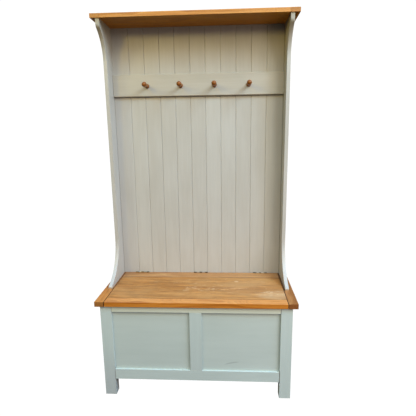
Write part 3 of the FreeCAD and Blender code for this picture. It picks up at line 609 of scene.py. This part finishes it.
for i, x in enumerate((-0.2727, -0.0908, 0.0908, 0.2727)):
    give("coat_peg_%d" % (i + 1), turned("peg_wood_%d" % (i + 1), i + 1, x, 1.581))

PINE_L, PINE_D = lin(214, 184, 140), lin(186, 150, 104)
give("rear_panel", plain_wood("ply_rear", "X", 31, PINE_L, PINE_D))
give("chest_floor", plain_wood("ply_floor", "X", 32, PINE_L, PINE_D))
give("floor_bearers", plain_wood("pine_bearers", "X", 33, PINE_L, PINE_D))
give("lid_battens", plain_wood("pine_battens", "Y", 34, PINE_L, PINE_D))
give("wing_dowels", plain_wood("beech_dowels", "Z", 35, PINE_L, PINE_D))
give("shelf_dowels", plain_wood("beech_dowels_top", "Z", 36, PINE_L, PINE_D))
soften("floor_bearers", 0.001, 2)
soften("lid_battens", 0.0015, 2)

ZINC, ZINC_D = (0.62, 0.62, 0.60, 1), (0.42, 0.42, 0.40, 1)
BRASS, BRASS_D = (0.52, 0.46, 0.36, 1), (0.30, 0.26, 0.19, 1)
DARK_BRASS, DARK_BRASS_D = (0.20, 0.17, 0.12, 1), (0.11, 0.09, 0.06, 1)
for k, n in enumerate(("joining_plates", "joining_plate_screws", "peg_rail_screws", "seat_end_screws", "lid_batten_screws")):
    give(n, metal("zinc_" + n, ZINC, ZINC_D, 0.46, 0.85, seed=k + 1))
for k, n in enumerate(("hinge_fixed_leaves", "hinge_pins", "hinge_fixed_screws", "hinge_lid_leaves", "hinge_lid_screws")):
    # the fixed leaves get a darker copy of the brass, so the knuckles alternate dark and light along each hinge
    dark_copy = n == "hinge_fixed_leaves"
    give(n, metal("brass_" + n, DARK_BRASS if dark_copy else BRASS, DARK_BRASS_D if dark_copy else BRASS_D, 0.32, seed=k + 11))
soften("joining_plates", 0.0004, 2)


# ------------------------------------------------------------------ stage and light
def emission_material(name, color, strength):
    m = bpy.data.materials.new(name)
    m.use_nodes = True
    t = m.node_tree
    t.nodes.clear()
    o = t.nodes.new("ShaderNodeOutputMaterial")
    e = t.nodes.new("ShaderNodeEmission")
    e.inputs[0].default_value = color
    e.inputs[1].default_value = strength
    t.links.new(e.outputs[0], o.inputs[0])
    return m


def add_stage():
    me = bpy.data.meshes.new("floor")
    s = 30.0
    me.from_pydata([(-s, -s, 0), (s, -s, 0), (s, s, 0), (-s, s, 0)], [], [(0, 1, 2, 3)])
    floor = bpy.data.objects.new("floor", me)
    scene.collection.objects.link(floor)
    me.materials.append(emission_material("floor", (1, 1, 1, 1), 1.05))
    for k in ("visible_diffuse", "visible_glossy", "visible_transmission", "visible_volume_scatter", "visible_shadow"):
        setattr(floor, k, False)

    bm = bmesh.new()
    bmesh.ops.create_uvsphere(bm, u_segments=64, v_segments=32, radius=45.0)
    me2 = bpy.data.meshes.new("backdrop")
    bm.to_mesh(me2)
    bm.free()
    back = bpy.data.objects.new("backdrop", me2)
    scene.collection.objects.link(back)
    me2.materials.append(emission_material("backdrop", (1, 1, 1, 1), 1.05))
    for k in ("visible_diffuse", "visible_glossy", "visible_transmission", "visible_volume_scatter", "visible_shadow"):
        setattr(back, k, False)


LOBES = [
    # direction the light comes from, sharpness, colour
    ((0.0, -0.7, 0.7), 8.0, (1.180, 1.153, 1.223)),
    ((0.75, -0.45, 0.5), 8.0, (0.783, 0.684, 0.806)),
    ((0.0, 0.0, 1.0), 6.0, (0.520, 0.900, 1.650)),
]


SOFT_LIGHTS = [
    # place, side, power, colour
    ((-1.350, -2.260, 2.4), 0.40, 14.0, (1.000, 0.690, 0.020)),
    ((-1.028, -1.026, 3.2), 1.2, 11.0, (0.000, 0.568, 1.000)),
    ((-2.145, -1.6, 2.4), 0.6, 14.5, (1.000, 0.847, 0.334)),
    ((0.0, -2.6, 3.2), 1.3, 3.9, (1.000, 0.476, 0.000)),
    ((1.0, -1.532, 2.6), 1.0, 3.8, (1.000, 0.735, 0.000)),
    ((1.8, -1.945, 3.4), 1.3, 35.0, (0.875, 0.960, 0.960)),
    ((1.680, -2.140, 2.4), 0.6, 6.5, (0.900, 0.960, 0.920)),
    ((1.532, -1.086, 0.6), 0.8, 6.6, (1.000, 0.751, 0.593)),
    ((2.425, -1.2, 3.4), 1.3, 109.4, (0.452, 0.676, 1.000)),
    # fill for the wall side
    ((-0.3, 3.2, 0.9), 1.0, 70.0, (1.000, 0.900, 0.760)),
]


def add_world():
    """Sky and surroundings as a sum of broad soft lobes of light."""
    w = bpy.data.worlds.new("soft_sky")
    scene.world = w
    w.use_nodes = True
    t = w.node_tree
    t.nodes.clear()
    out = t.nodes.new("ShaderNodeOutputWorld")
    bg = t.nodes.new("ShaderNodeBackground")
    tc = t.nodes.new("ShaderNodeTexCoord")
    total = None
    for d, k, c in LOBES:
        dot = t.nodes.new("ShaderNodeVectorMath")
        dot.operation = "DOT_PRODUCT"
        t.links.new(tc.outputs["Generated"], dot.inputs[0])
        dot.inputs[1].default_value = Vector(d).normalized()
        up = t.nodes.new("ShaderNodeMath")
        up.operation = "MULTIPLY_ADD"
        up.inputs[1].default_value = 0.5
        up.inputs[2].default_value = 0.5
        t.links.new(dot.outputs["Value"], up.inputs[0])
        pw = t.nodes.new("ShaderNodeMath")
        pw.operation = "POWER"
        pw.inputs[1].default_value = k
        t.links.new(up.outputs[0], pw.inputs[0])
        sc = t.nodes.new("ShaderNodeVectorMath")
        sc.operation = "SCALE"
        sc.inputs[0].default_value = c
        t.links.new(pw.outputs[0], sc.inputs["Scale"])
        if total is None:
            total = sc.outputs[0]
        else:
            ad = t.nodes.new("ShaderNodeVectorMath")
            ad.operation = "ADD"
            t.links.new(total, ad.inputs[0])
            t.links.new(sc.outputs[0], ad.inputs[1])
            total = ad.outputs[0]
    t.links.new(total, bg.inputs[0])
    bg.inputs[1].default_value = 1.0
    t.links.new(bg.outputs[0], out.inputs[0])


def area(name, loc, target, size, power, color=(1, 1, 1)):
    d = bpy.data.lights.new(name, "AREA")
    d.shape = "RECTANGLE"
    d.size, d.size_y = size
    d.energy = power
    d.color = color
    o = bpy.data.objects.new(name, d)
    scene.collection.objects.link(o)
    o.location = loc
    o.rotation_mode = "QUATERNION"
    o.rotation_quaternion = (Vector(target) - Vector(loc)).to_track_quat("-Z", "Y")
    return o


add_stage()
add_world()
for k, (loc, size, power, color) in enumerate(SOFT_LIGHTS):
    area("soft_%02d" % (k + 1), loc, (0.0, 0.1, 1.0), (size, size), power, color)
